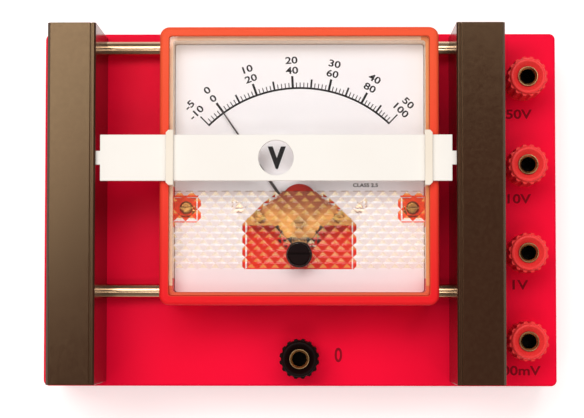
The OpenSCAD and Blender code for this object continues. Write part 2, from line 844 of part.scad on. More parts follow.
module zero_lever() {
  arm_w = 3.4;
  eye_r = 2.8;
  fork_end = adjuster_down + 1;
  fork_in = adjuster_down - adjuster_pin_off - pin_r - 0.6;
  slot = 2 * (pin_r + slot_gap);
  color(brass) translate([0, pivot_y, 0]) difference() {
    union() {
      translate([0, 0, lever_z]) linear_extrude(lever_t) {
        circle(eye_r);
        translate([-arm_w / 2, -fork_end]) square([arm_w, fork_end]);
      }
      translate([0, -stud_at, upper_spring_z]) cylinder(h = lever_z - upper_spring_z + 0.1, r = stud_r);
    }
    translate([0, 0, lever_z - 1]) cylinder(h = lever_t + 2, r = jewel_r + run_gap);
    translate([-slot / 2, -fork_end - 1, lever_z - 1]) cube([slot, fork_end + 1 - fork_in, lever_t + 2]);
  }
}

module zero_adjuster() {
  head_top = cover_z + cover_t - slot_gap;
  slot_w = 0.8;
  slot_d = 0.7;
  color(black) translate([0, adjuster_y, 0]) difference() {
    union() {
      translate([0, 0, flange_z]) cylinder(h = flange_t, r = flange_r - fit_gap / 2);
      translate([0, 0, flange_z]) rotate_extrude() edge_profile(adjuster_r, head_top - flange_z, 0.4);
      translate([0, adjuster_pin_off, lever_z - fit_gap])
        cylinder(h = flange_z - lever_z + fit_gap + 0.1, r = pin_r);
    }
    translate([0, 0, head_top]) cube([2 * adjuster_d, slot_w, 2 * slot_d], center = true);
  }
}

// Shutter

// Bar of the right-hand side, its inner face at x = 0: a wall, a roof and two end webs, open outwards
module shutter_bar() {
  foot = panel_z + slide_gap;
  web_t = bar_wall;
  rods = [rod_far_y, rod_near_y];
  difference() {
    union() {
      rotate([90, 0, 0]) translate([0, 0, -bar_l / 2]) linear_extrude(bar_l) difference() {
        bar_outline(foot);
        translate([bar_wall, foot - 1]) square([bar_w, bar_z - bar_wall - foot + 1]);
      }
      for (s = [-1, 1])
        translate([0, s * (bar_l - web_t) / 2 + web_t / 2, 0]) rotate([90, 0, 0])
          linear_extrude(web_t) bar_outline(foot);
    }
    for (y = rods) translate([0, y, rod_z]) {
      rod_x(-1, rod_seat + 1, rod_r + run_gap / 2);
      rod_x(0, bar_wall + 1, rod_screw_r);
      translate([bar_wall, 0, 0]) rotate([0, 90, 0]) sunk_head(run_gap);
    }
    translate([-1, strap_y - tongue_w / 2 - run_gap, strap_z - run_gap])
      cube([tongue_in + 1, tongue_w + 2 * run_gap, strap_t + 2 * run_gap]);
  }
}

// Outline with a narrow lip along the inner edge, set off by a groove
module bar_outline(foot) {
  groove_end = lip_w + groove_w;
  groove_z = bar_z - groove_d;
  polygon([
    [0, foot], [bar_w, foot], [bar_w, bar_z - bar_edge], [bar_w - bar_edge, bar_z],
    [groove_end, bar_z], [groove_end, groove_z], [lip_w, groove_z], [lip_w, bar_z],
    [lip_round, bar_z], [0, bar_z - lip_round]
  ]);
}

module right_bar() {
  color(dark_brown) translate([right_x, 0, 0]) shutter_bar();
}

module left_bar() {
  color(dark_brown) translate([left_x, 0, 0]) mirror([1, 0, 0]) shutter_bar();
}

module shutter_rod(y) {
  color(steel) translate([0, y, rod_z]) difference() {
    rod_x(left_x - rod_seat, rod_l, rod_r);
    rod_x(left_x - rod_seat - 1, rod_screw_l + 1, rod_screw_r);
    rod_x(right_x + rod_seat - rod_screw_l, rod_screw_l + 1, rod_screw_r);
  }
}

// Countersunk head, its flat face at z = 0, drawn larger by a gap for its seat
module sunk_head(gap) {
  translate([0, 0, -sink_t]) cylinder(h = sink_t, r1 = large_r + gap, r2 = large_head_r + gap);
}

module sunk_screw() {
  difference() {
    union() {
      sunk_head(0);
      translate([0, 0, -rod_screw_l]) cylinder(h = rod_screw_l, r = large_r);
    }
    cube([3 * large_head_r, large_r / 2, sink_t], center = true);
  }
}

module rod_screws() {
  color(steel) for (y = [rod_far_y, rod_near_y]) translate([0, y, rod_z]) {
    translate([right_x + bar_wall, 0, 0]) rotate([0, 90, 0]) sunk_screw();
    translate([left_x - bar_wall, 0, 0]) rotate([0, -90, 0]) sunk_screw();
  }
}

module strap() {
  x0 = left_x + tongue_l;
  x1 = right_x - tongue_l;
  color(white) translate([0, strap_y, strap_z]) linear_extrude(strap_t) difference() {
    union() {
      translate([x0, -strap_w / 2]) square([x1 - x0, strap_w]);
      translate([left_x - tongue_in, -tongue_w / 2])
        square([right_x - left_x + 2 * tongue_in, tongue_w]);
    }
    translate([(left_x + right_x) / 2, 0]) circle(hole_d / 2);
  }
}

// Sockets

// Metal post with a countersunk plug bore and a stud below the panel
module socket_post() {
  top = panel_z + cap_top - post_sink;
  bore_l = 14;
  flare = 0.5;
  difference() {
    union() {
      translate([0, 0, panel_z]) cylinder(h = top - panel_z, r = post_r_out);
      translate([0, 0, panel_z - stud_l]) cylinder(h = stud_l + 1, r = stud_screw_r);
    }
    translate([0, 0, top - bore_l]) cylinder(h = bore_l + 1, r = socket_bore / 2);
    translate([0, 0, top - flare])
      cylinder(h = flare + 0.01, r1 = socket_bore / 2, r2 = socket_bore / 2 + flare);
  }
}

module v_posts() {
  color(steel) for (p = v_spots) translate([p.x, p.y, 0]) socket_post();
}

module a_posts() {
  color(steel) for (p = a_spots) translate([p.x, p.y, 0]) socket_post();
}

module common_post() {
  color(steel) translate([common_spot.x, common_spot.y, 0]) socket_post();
}

// Insulating collar that seats on the panel, with a spigot through it
module socket_collar() {
  difference() {
    union() {
      translate([0, 0, panel_z]) rotate_extrude() edge_profile(collar_r, collar_t, 0.5);
      translate([0, 0, panel_z - panel_t]) cylinder(h = panel_t + 0.5, r = spigot_r);
    }
    translate([0, 0, panel_z - panel_t - 1]) cylinder(h = panel_t + 1, r = stud_screw_r + run_gap / 2);
    translate([0, 0, panel_z]) cylinder(h = collar_t + 1, r = post_r_out + run_gap / 2);
  }
}

module red_collars() {
  color(red) for (p = concat(v_spots, a_spots)) translate([p.x, p.y, 0]) socket_collar();
}

module black_collar() {
  color(black) translate([common_spot.x, common_spot.y, 0]) socket_collar();
}

module socket_nuts() {
  color(brass) for (p = all_spots) translate([p.x, p.y, nut_z]) difference() {
    cylinder(h = nut_t, r = nut_r, $fn = 6);
    translate([0, 0, -1]) cylinder(h = nut_t + 2, r = stud_screw_r + run_gap / 2);
  }
}

module solder_tags() {
  color(steel) for (p = all_spots) translate([p.x, p.y, tag_z]) rotate(p.x > 0 ? 180 : 0)
    linear_extrude(tag_t) difference() {
      union() {
        circle(tag_r);
        translate([0, -tag_end_r]) square([tag_l - tag_end_r, 2 * tag_end_r]);
        translate([tag_l - tag_end_r, 0]) circle(tag_end_r);
      }
      circle(stud_screw_r + run_gap / 2);
      translate([tag_l - tag_end_r, 0]) circle(tag_end_r / 2);
    }
}

// Leads and a body along Y between two neighbouring tags
module series_element(x, k, body_r, body_l, wire_r) {
  tag_x = x - sign(x) * (tag_l - tag_end_r);
  span = socket_pitch - tag_end_r;
  translate([tag_x, (row_y[k] + row_y[k + 1]) / 2, tag_z - wire_r]) rotate([90, 0, 0]) {
    translate([0, 0, -span / 2]) cylinder(h = span, r = wire_r);
    translate([0, 0, -body_l / 2]) cylinder(h = body_l, r = body_r);
  }
}

module series_resistors() {
  color([0.76, 0.66, 0.48]) for (k = [0:ROW_COUNT - 2])
    series_element(socket_x, k, resistor_r, resistor_l, lead_r);
}

module shunt_wires() {
  color([0.7, 0.45, 0.25]) for (k = [0:ROW_COUNT - 2])
    series_element(-socket_x, k, shunt_r, shunt_l, shunt_wire_r);
}

module scallop_outline() {
  difference() {
    circle(cap_r);
    for (k = [0:SCALLOPS - 1])
      rotate(k * 360 / SCALLOPS) translate([cap_r + scallop_r - scallop_in, 0]) circle(scallop_r);
  }
}

// Thumb cap with scalloped sides and a funnel down to the post
module socket_cap(p, tint) {
  z0 = panel_z + collar_t + fit_gap;
  h = cap_top - collar_t - fit_gap;
  color(tint) translate([p.x, p.y, z0]) difference() {
    union() {
      linear_extrude(h - crown_h) scallop_outline();
      rotate_extrude() edge_profile(crown_r, h, crown_h / 2);
    }
    translate([0, 0, -1]) cylinder(h = h + 2, r = post_r_out + run_gap);
    translate([0, 0, h - funnel])
      cylinder(h = funnel + 0.01, r1 = post_r_out + run_gap, r2 = post_r_out + funnel);
  }
}

module v_cap(k) {
  socket_cap(v_spots[k], red);
}

module a_cap(k) {
  socket_cap(a_spots[k], red);
}

module common_cap() {
  socket_cap(common_spot, black);
}

base_case();
bottom_cover();
bottom_screws();
feet();
meter_case();
case_screws();
clear_cover();
cover_gasket();
strap_guide(-1);  // left_strap_guide
strap_guide(1);  // right_strap_guide
dial_plate();
movement_mask();
dial_screws();
movement_plate();
plate_screws();
yoke_ring();
magnet_core();
core_bar();
upper_bridge();
bridge_screws();
jewel_screws();
coil_former();
coil_winding();
pivots();
needle();
balance_weights();
upper_hairspring();
lower_hairspring();
zero_lever();
zero_adjuster();
left_bar();
right_bar();
shutter_rod(rod_far_y);  // upper_rod
shutter_rod(rod_near_y);  // lower_rod
strap();
rod_screws();
v_posts();
a_posts();
common_post();
red_collars();
black_collar();
socket_nuts();
solder_tags();
series_resistors();
shunt_wires();
v_cap(0);  // v_cap_1
v_cap(1);  // v_cap_2
v_cap(2);  // v_cap_3
v_cap(3);  // v_cap_4
a_cap(0);  // a_cap_1
a_cap(1);  // a_cap_2
a_cap(2);  // a_cap_3
a_cap(3);  // a_cap_4
common_cap();
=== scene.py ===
import json
import math

import bpy
import numpy as np
from mathutils import Matrix, Vector


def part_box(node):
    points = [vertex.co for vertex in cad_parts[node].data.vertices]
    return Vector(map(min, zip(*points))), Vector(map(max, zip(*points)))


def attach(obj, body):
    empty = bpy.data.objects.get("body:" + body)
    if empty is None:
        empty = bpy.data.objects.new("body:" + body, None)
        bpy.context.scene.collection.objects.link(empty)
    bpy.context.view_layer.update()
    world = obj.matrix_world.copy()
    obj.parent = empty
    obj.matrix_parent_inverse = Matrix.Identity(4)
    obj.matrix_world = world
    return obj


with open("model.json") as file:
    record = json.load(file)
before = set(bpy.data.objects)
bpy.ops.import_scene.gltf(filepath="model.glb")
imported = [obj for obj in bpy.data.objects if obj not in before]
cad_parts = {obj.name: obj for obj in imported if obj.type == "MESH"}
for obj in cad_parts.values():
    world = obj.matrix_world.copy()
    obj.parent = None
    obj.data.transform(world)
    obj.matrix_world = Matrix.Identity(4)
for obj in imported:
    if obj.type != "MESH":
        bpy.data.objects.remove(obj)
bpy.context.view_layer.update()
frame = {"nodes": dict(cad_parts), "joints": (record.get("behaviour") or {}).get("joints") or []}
nodes = frame["nodes"]
scene = bpy.context.scene
mm = 0.001
print("frame:", len(nodes), "solids loaded")

# camera: nearly overhead, a little towards the common socket
camera = {
    "place": (0.0039, -0.0292, 0.5173),
    "tip": (2.456, 0.715, 0.014),  # degrees about X, Y and Z
    "lens": 106.6,
    "sensor": 36,
    "rise": 0.05,  # shift, in image widths
    "nearest": 0.01,
}


def lookDown(place, tip):
    # a camera that looks straight down with the dial's top side up, tipped about X, then Y, then Z
    turned = Matrix.Translation(place)
    for degrees, axis in zip(tip, "XYZ"):
        turned = turned @ Matrix.Rotation(math.radians(degrees), 4, axis)
    return turned


lens = bpy.data.cameras.new("benchCamera")
lens.lens = camera["lens"]
lens.sensor_width = camera["sensor"]
lens.shift_y = camera["rise"]
lens.clip_start = camera["nearest"]
eye = bpy.data.objects.new("benchCamera", lens)
eye.matrix_world = lookDown(camera["place"], camera["tip"])
scene.collection.objects.link(eye)
scene.camera = eye
scene.view_settings.view_transform = "Standard"
print("camera: set")


# materials

def paint(red, green, blue):
    # screen colour, 0 to 255, as linear light: c / 12.92 below 0.04, else ((c + 0.055) / 1.055) ^ 2.4
    c = np.array((red, green, blue)) / 255
    light = np.where(c <= 0.04045, c / 12.92, ((c + 0.055) / 1.055) ** 2.4)
    return (*light.tolist(), 1.0)


def startGroup(name, inputs, outputs):
    # a node group with its sockets, and the nodes that take them in and give them out
    group = bpy.data.node_groups.new(name, "ShaderNodeTree")
    for label, kind, value in inputs:
        group.interface.new_socket(label, in_out="INPUT", socket_type=kind).default_value = value
    for label, kind in outputs:
        group.interface.new_socket(label, in_out="OUTPUT", socket_type=kind)
    return group, group.nodes.new("NodeGroupInput"), group.nodes.new("NodeGroupOutput")


def addNode(tree, kind, **settings):
    # a node of one kind with its settings
    node = tree.nodes.new(kind)
    for key, value in settings.items():
        setattr(node, key, value)
    return node


def addMath(tree, operation, first, second=None, clamp=False):
    # one sum of two sockets or numbers
    node = addNode(tree, "ShaderNodeMath", operation=operation, use_clamp=clamp)
    for slot, value in zip(node.inputs, (first, second)):
        if hasattr(value, "is_linked"):
            tree.links.new(value, slot)
        elif value is not None:
            slot.default_value = value
    return node.outputs[0]


def addMix(tree, factor, low, high):
    # colour that runs from low to high as factor goes from 0 to 1
    node = addNode(tree, "ShaderNodeMix", data_type="RGBA")
    for slot, value in ((node.inputs[0], factor), (node.inputs[6], low), (node.inputs[7], high)):
        if hasattr(value, "is_linked"):
            tree.links.new(value, slot)
        else:
            slot.default_value = value
    return node.outputs[2]


def addRange(tree, value, low, high, start=0.0, end=1.0):
    # value from start..end carried over to low..high
    node = addNode(tree, "ShaderNodeMapRange")
    tree.links.new(value, node.inputs["Value"])
    for label, number in (("From Min", start), ("From Max", end), ("To Min", low), ("To Max", high)):
        node.inputs[label].default_value = number
    return node.outputs[0]


noiseSpan = (0.3, 0.7)  # most values of a noise lie in here


def makeGrain():
    # fine moulding grain and a slow cloud, both noise on the piece's own coordinates
    group, entry, leave = startGroup(
        "mouldingGrain",
        [("Grain", "NodeSocketFloat", 2500.0), ("Cloud", "NodeSocketFloat", 40.0)],
        [("Height", "NodeSocketFloat"), ("Tone", "NodeSocketFloat")])
    place = addNode(group, "ShaderNodeTexCoord")
    for label, result, detail in (("Grain", "Height", 2.0), ("Cloud", "Tone", 4.0)):
        noise = addNode(group, "ShaderNodeTexNoise")
        noise.inputs["Detail"].default_value = detail
        group.links.new(place.outputs["Object"], noise.inputs["Vector"])
        group.links.new(entry.outputs[label], noise.inputs["Scale"])
        group.links.new(addRange(group, noise.outputs[0], 0, 1, *noiseSpan), leave.inputs[result])
    return group


def makeEdge():
    # rounds sharp edges for the light, and marks where the rounded normal leaves the true one
    group, entry, leave = startGroup(
        "roundedEdge",
        [("Radius", "NodeSocketFloat", 0.0003), ("Gain", "NodeSocketFloat", 3.0)],
        [("Normal", "NodeSocketVector"), ("Edge", "NodeSocketFloat")])
    bevel = addNode(group, "ShaderNodeBevel", samples=6)
    surface = addNode(group, "ShaderNodeNewGeometry")
    dot = addNode(group, "ShaderNodeVectorMath", operation="DOT_PRODUCT")
    group.links.new(entry.outputs["Radius"], bevel.inputs["Radius"])
    group.links.new(bevel.outputs[0], dot.inputs[0])
    group.links.new(surface.outputs["Normal"], dot.inputs[1])
    away = addMath(group, "SUBTRACT", 1.0, dot.outputs["Value"])
    edge = addMath(group, "MULTIPLY", away, entry.outputs["Gain"], clamp=True)
    group.links.new(edge, leave.inputs["Edge"])
    group.links.new(bevel.outputs[0], leave.inputs["Normal"])
    return group


def makeLines():
    # drawn or turned metal: noise squeezed by a different amount along each axis
    group, entry, leave = startGroup(
        "drawnLines",
        [("Squeeze", "NodeSocketVector", (60.0, 4000.0, 4000.0))],
        [("Lines", "NodeSocketFloat")])
    place = addNode(group, "ShaderNodeTexCoord")
    squeeze = addNode(group, "ShaderNodeVectorMath", operation="MULTIPLY")
    noise = addNode(group, "ShaderNodeTexNoise")
    noise.inputs["Scale"].default_value = 1.0
    noise.inputs["Detail"].default_value = 3.0
    group.links.new(place.outputs["Object"], squeeze.inputs[0])
    group.links.new(entry.outputs["Squeeze"], squeeze.inputs[1])
    group.links.new(squeeze.outputs[0], noise.inputs["Vector"])
    group.links.new(addRange(group, noise.outputs[0], 0, 1, *noiseSpan), leave.inputs["Lines"])
    return group


grainGroup, edgeGroup, linesGroup = makeGrain(), makeEdge(), makeLines()


def useGroup(tree, group, **values):
    # a group inside a material, its inputs set by name
    node = addNode(tree, "ShaderNodeGroup", node_tree=group)
    for label, value in values.items():
        node.inputs[label.capitalize()].default_value = value
    return node


def startMaterial(name):
    # a new material, its node tree and its main shader
    material = bpy.data.materials.new(name)
    material.use_nodes = True
    tree = material.node_tree
    return material, tree, tree.nodes["Principled BSDF"]


def addAxes(tree):
    # the piece's own X, Y and Z
    place = addNode(tree, "ShaderNodeTexCoord")
    axes = addNode(tree, "ShaderNodeSeparateXYZ")
    tree.links.new(place.outputs["Object"], axes.inputs[0])
    return axes.outputs


def addInside(tree, axes, corners):
    # 1 inside the box between two corners in mm, 0 outside
    inside = 1.0
    for axis, low, high in zip("XYZ", *corners):
        for side, edge in (("GREATER_THAN", low), ("LESS_THAN", high)):
            inside = addMath(tree, "MULTIPLY", addMath(tree, side, axes[axis], edge * mm), inside)
    return inside


# what a finish has unless it says otherwise; round and depth in mm
plainLook = dict(grain=2500.0, cloud=40.0, round=0.25, wear=2.0, bump=0.15, depth=0.02, patches=[])


def makeFinish(name, ownLook):
    # colour: two tones under a slow cloud, another on edges as a painted highlight with some wear; gloss and
    # bump: grain or drawn lines
    look = {**plainLook, **ownLook}
    material, tree, shader = startMaterial(name)
    grain = useGroup(tree, grainGroup, grain=look["grain"], cloud=look["cloud"])
    edge = useGroup(tree, edgeGroup, radius=look["round"] * mm, gain=look["wear"])
    height = grain.outputs["Height"]
    if "lines" in look:
        height = useGroup(tree, linesGroup, squeeze=look["lines"]).outputs["Lines"]
    body = addMix(tree, grain.outputs["Tone"], paint(*look["tone"]), paint(*look["shade"]))
    axes = addAxes(tree)
    # painted light: colour shifts slowly towards the far side, a painted warm highlight on the case and
    # painted shade on the bracket
    if "paintedFarLight" in look:  # slow change of colour towards the far side
        near, far = look["paintedFarLightFrom"]
        farLightMask = addRange(tree, axes["Y"], 0, 1, near * mm, far * mm)
        body = addMix(tree, farLightMask, body, paint(*look["paintedFarLight"]))
    for corners, colour in look["patches"]:  # patches of other colour inside boxes in mm: the inner walls, and painted light on the screw bosses and gasket sides
        body = addMix(tree, addInside(tree, axes, corners), body, paint(*colour))
    # painted highlight along edges, partly wear: most finishes give their edges a lighter colour than the
    # body
    if "edge" in look:
        body = addMix(tree, edge.outputs["Edge"], body, paint(*look["edge"]))
    tree.links.new(body, shader.inputs["Base Color"])
    low, high = look["rough"]
    tree.links.new(addRange(tree, height, low, high), shader.inputs["Roughness"])
    bump = addNode(tree, "ShaderNodeBump")
    bump.inputs["Strength"].default_value = look["bump"]
    bump.inputs["Distance"].default_value = look["depth"] * mm
    tree.links.new(height, bump.inputs["Height"])
    tree.links.new(edge.outputs["Normal"], bump.inputs["Normal"])
    tree.links.new(bump.outputs[0], shader.inputs["Normal"])
    for label, value in look["shader"].items():
        shader.inputs[label].default_value = value
    return material


plastic = {"Specular IOR Level": 0.2}
satin = {"Specular IOR Level": 0.05}
metal = {"Metallic": 1.0}
# edge: a lighter colour on edges, a painted highlight with some wear
finishes = {
    "basePlastic": dict(tone=(255, 6, 58), shade=(251, 4, 52), edge=(255, 46, 60), rough=(0.34, 0.46),
                        grain=1800.0, cloud=22.0, shader=satin),
    "casePlastic": dict(tone=(242, 36, 42), shade=(238, 30, 40), edge=(255, 120, 70), rough=(0.26, 0.36),
                        # painted highlight: the case turns a warmer orange towards the far side
                        grain=1500.0, cloud=30.0, round=0.5, paintedFarLight=(248, 92, 58), paintedFarLightFrom=(-25, 40),
                        patches=[(((-34.25, -20, 43.3), (34.25, 44.55, 60)), (255, 232, 208)),  # inner walls
                                 # painted light: the screw bosses are painted a lighter orange to lift the
                                 # shade they sit in
                                 (((-34.3, -6, 38), (-25, 5, 49.5)), (255, 88, 40)),  # screw bosses
                                 (((25, -6, 38), (34.3, 5, 49.5)), (255, 88, 40))],
                        shader=satin),
    "maskPaint": dict(tone=(238, 44, 4), shade=(228, 36, 3), rough=(0.4, 0.55), grain=1500.0, cloud=80.0,
                      shader=satin),
    "coverBoard": dict(tone=(26, 26, 28), shade=(34, 34, 36), edge=(70, 70, 72), rough=(0.5, 0.75),
                       grain=1400.0, bump=0.4, depth=0.05, shader=plastic),
    "footRubber": dict(tone=(22, 22, 22), shade=(34, 33, 32), rough=(0.75, 0.95), grain=1600.0, bump=0.3,
                       shader=plastic),
    "capPlastic": dict(tone=(255, 62, 62), shade=(250, 54, 56), edge=(255, 92, 80), rough=(0.24, 0.34),
                       grain=2200.0, cloud=90.0, shader=plastic),
    "blackPlastic": dict(tone=(18, 7, 8), shade=(26, 11, 11), edge=(34, 16, 15), rough=(0.3, 0.4),
                         cloud=120.0, shader=satin),
    "strapPlastic": dict(tone=(251, 248, 243), shade=(248, 243, 237), edge=(252, 249, 245), rough=(0.3, 0.4),
                         cloud=30.0, shader=plastic),
    "guidePlastic": dict(tone=(248, 238, 224), shade=(242, 230, 212), edge=(250, 244, 234), rough=(0.3, 0.4),
                         cloud=60.0, shader=plastic),
    "gasketFoam": dict(tone=(255, 226, 192), shade=(252, 212, 172), rough=(0.7, 0.9), grain=1200.0, bump=0.4,
                       # painted light: the right side is painted darker brown-orange and the near side
                       # redder, painted shade and a painted reflection of the red case
                       patches=[(((33, -30, 40), (40, 60, 60)), (246, 168, 108)),  # right side
                                (((-40, -30, 40), (40, -22, 60)), (240, 112, 74))],  # near side
                       shader=plastic),
    "barLacquer": dict(tone=(46, 15, 8), shade=(39, 12, 7), edge=(96, 56, 36), rough=(0.18, 0.23),
                       grain=900.0, cloud=26.0, bump=0.02,
                       shader={"Specular IOR Level": 0.68, "Specular Tint": (1.0, 0.7, 0.4, 1.0)}),
    "rodSteel": dict(tone=(206, 176, 144), shade=(170, 136, 104), rough=(0.12, 0.22),
                     lines=(60.0, 3000.0, 3000.0), bump=0.08, shader=metal),
    "screwSteel": dict(tone=(186, 176, 160), shade=(162, 152, 136), edge=(220, 214, 204), rough=(0.34, 0.48),
                       cloud=300.0, shader=metal),
    "screwBrass": dict(tone=(156, 116, 62), shade=(126, 90, 46), edge=(238, 214, 160), rough=(0.3, 0.44),
                       cloud=300.0, shader=metal),
    "bridgeBrass": dict(tone=(168, 126, 74), shade=(140, 102, 58), edge=(196, 156, 100), rough=(0.45, 0.6),
                        lines=(80.0, 2600.0, 2600.0), cloud=120.0, shader={"Metallic": 0.6}),
    # the wide spread of tone and shade under a fine cloud stands in for glints and dark spots from the
    # cover's pyramids: painted highlights and painted shade
    "bracketBrass": dict(tone=(208, 150, 74), shade=(128, 76, 28), edge=(204, 160, 100), rough=(0.45, 0.6),
                         # painted shade: the bracket darkens towards its far end
                         lines=(80.0, 2600.0, 2600.0), cloud=260.0, paintedFarLight=(118, 48, 14), paintedFarLightFrom=(-3.5, 1.5),
                         shader={"Metallic": 0.5}),
    "screwBright": dict(tone=(232, 220, 206), shade=(214, 200, 186), rough=(0.5, 0.62), cloud=300.0,
                        shader=metal),
    "screwYellow": dict(tone=(164, 124, 68), shade=(132, 96, 50), edge=(226, 196, 140), rough=(0.3, 0.44),
                        cloud=300.0, shader=metal),  # yellow plating
    "springBronze": dict(tone=(196, 140, 80), shade=(170, 116, 62), rough=(0.25, 0.35), shader=metal),
    "softIron": dict(tone=(130, 130, 132), shade=(104, 104, 108), edge=(176, 176, 178), rough=(0.4, 0.6),
                     lines=(1500.0, 1500.0, 90.0), shader=metal),
    "magnetAlloy": dict(tone=(92, 92, 96), shade=(72, 72, 78), edge=(140, 140, 144), rough=(0.5, 0.7),
                        grain=1200.0, bump=0.4, shader=metal),
    "formerSheet": dict(tone=(208, 210, 214), shade=(190, 192, 198), rough=(0.25, 0.4),
                        lines=(2500.0, 2500.0, 80.0), shader=metal),
    "tinnedTag": dict(tone=(196, 196, 192), shade=(172, 172, 168), rough=(0.3, 0.5), cloud=400.0,
                      shader=metal),
    "needleLacquer": dict(tone=(64, 54, 54), shade=(52, 44, 44), rough=(0.4, 0.55), cloud=200.0,
                          shader=plastic),
    "shuntWire": dict(tone=(178, 120, 78), shade=(150, 96, 60), rough=(0.25, 0.4),
                      lines=(3000.0, 80.0, 3000.0), shader=metal),
}
wearers = {
    "basePlastic": ["base_case"],
    "casePlastic": ["meter_case"],
    "maskPaint": ["movement_mask"],
    "coverBoard": ["bottom_cover"],
    "footRubber": ["feet"],
    "capPlastic": ["red_collars"] + [f"{row}_cap_{k}" for row in "va" for k in (1, 2, 3, 4)],
    "blackPlastic": ["zero_adjuster", "black_collar", "common_cap"],
    "strapPlastic": ["strap"],
    "guidePlastic": ["left_strap_guide", "right_strap_guide"],
    "gasketFoam": ["cover_gasket"],
    "barLacquer": ["left_bar", "right_bar"],
    "rodSteel": ["upper_rod", "lower_rod"],
    "screwSteel": ["bottom_screws", "plate_screws", "rod_screws", "pivots", "balance_weights"],
    "screwBrass": ["case_screws", "socket_nuts"],
    "screwBright": ["dial_screws"],
    "screwYellow": ["bridge_screws"],
    "bridgeBrass": ["movement_plate", "core_bar", "jewel_screws", "zero_lever"],
    "bracketBrass": ["upper_bridge"],
    "springBronze": ["upper_hairspring", "lower_hairspring"],
    "softIron": ["yoke_ring"],
    "magnetAlloy": ["magnet_core"],
    "formerSheet": ["coil_former"],
    "tinnedTag": ["solder_tags"],
    "needleLacquer": ["needle"],
    "shuntWire": ["shunt_wires"],
}


def dress(name, material):
    # one material in place of what the solid came with
    slots = nodes[name].data.materials
    slots.clear()
    slots.append(material)


for name, look in finishes.items():
    material = makeFinish(name, look)
    for node in wearers[name]:
        dress(node, material)
print("finishes:", len(finishes), "moulded and metal ones")


# dial: satin white paint, with a painted pink reflection of the red case along its near edge
dialPaint = dict(
    tone=(255, 253, 255), shade=(252, 250, 254), low=(251, 240, 242), fade=(-12, -18), rough=0.55, gloss=0.2,
    speck=900.0, cloud=30.0, bump=0.1, depth=0.01)


def makeDialPaint(look):
    # white with a slow tint, a painted pink reflection of the red case along the near edge, and an
    # orange-peel bump from small noise
    material, tree, shader = startMaterial("dialPaint")
    grain = useGroup(tree, grainGroup, grain=look["speck"], cloud=look["cloud"])
    tone = addMix(tree, grain.outputs["Tone"], paint(*look["tone"]), paint(*look["shade"]))
    # painted reflection: the near edge turns pink, as if lit by light bounced off the red case
    start, end = look["fade"]
    low = addRange(tree, addAxes(tree)["Y"], 0, 1, start * mm, end * mm)
    tree.links.new(addMix(tree, low, tone, paint(*look["low"])), shader.inputs["Base Color"])
    bump = addNode(tree, "ShaderNodeBump")
    bump.inputs["Strength"].default_value = look["bump"]
    bump.inputs["Distance"].default_value = look["depth"] * mm
    tree.links.new(grain.outputs["Height"], bump.inputs["Height"])
    tree.links.new(bump.outputs[0], shader.inputs["Normal"])
    shader.inputs["Roughness"].default_value = look["rough"]
    shader.inputs["Specular IOR Level"].default_value = look["gloss"]
    return material


dress("dial_plate", makeDialPaint(dialPaint))


# clear cover: acrylic that lets lamplight through to the dial, its pyramids given a painted highlight on
# their far sides and painted shade on their near sides
clearAcrylic = dict(
    tint=(253, 253, 254), nearShade=(234, 216, 208), farGlint=0.34, farGlintTone=(255, 214, 116), rough=0.02, ior=1.49,
    gloss=0.2,
    flat=2.5,  # radius of the plain spot over each case screw
    field=dict(corners=((-33.9, -17.7, 50), (33.9, 3.5, 50.65)), counts=(42, 13), cut=0.3),  # half pitches
    # painted shade: a dashed dark line along the field's far edge
    stepShade=dict(tone=(150, 118, 106), half=0.12, dash=0.62))  # dashed dark line at the field's far edge


def addSpots(tree, middles, radius):
    # 1 within radius of any of the middles, 0 elsewhere
    axes = addAxes(tree)
    spots = 0.0
    for x, y in middles:
        squares = []
        for axis, place in (("X", x), ("Y", y)):
            away = addMath(tree, "ABSOLUTE", addMath(tree, "SUBTRACT", axes[axis], place))
            squares.append(addMath(tree, "POWER", away, 2.0))
        spot = addMath(tree, "LESS_THAN", addMath(tree, "ADD", *squares), radius ** 2)
        spots = addMath(tree, "ADD", spot, spots)
    return spots


def addFacets(tree, look):
    # in half-pitch steps p across and q along, lead = fract((p + q) / 2) - fract((p - q) / 2);
    # a far facet is where lead > cut and a near one where lead < 0;
    # the painted shade is dashes along the field's far edge, one to each whole pitch across
    axes, field, stepShade = addAxes(tree), look["field"], look["stepShade"]
    low, high = field["corners"]
    across, along = (addRange(tree, axes[axis], 0, field["counts"][k], low[k] * mm, high[k] * mm)
                     for k, axis in enumerate("XY"))
    slants = [addMath(tree, "MULTIPLY", addMath(tree, way, across, along), 0.5)
              for way in ("ADD", "SUBTRACT")]
    lead = addMath(tree, "SUBTRACT", *[addMath(tree, "FRACT", slant) for slant in slants])
    inside = addInside(tree, axes, field["corners"])
    far = addMath(tree, "MULTIPLY", inside, addMath(tree, "GREATER_THAN", lead, field["cut"]))
    near = addMath(tree, "MULTIPLY", inside, addMath(tree, "LESS_THAN", lead, 0.0))
    line = addInside(tree, axes, [(low[0], high[1] - stepShade["half"], low[2]),
                                  (high[0], high[1] + stepShade["half"], high[2])])
    pitch = addMath(tree, "FRACT", addMath(tree, "MULTIPLY", across, 0.5))
    dash = addMath(tree, "LESS_THAN", pitch, stepShade["dash"])
    return inside, far, near, addMath(tree, "MULTIPLY", line, dash)


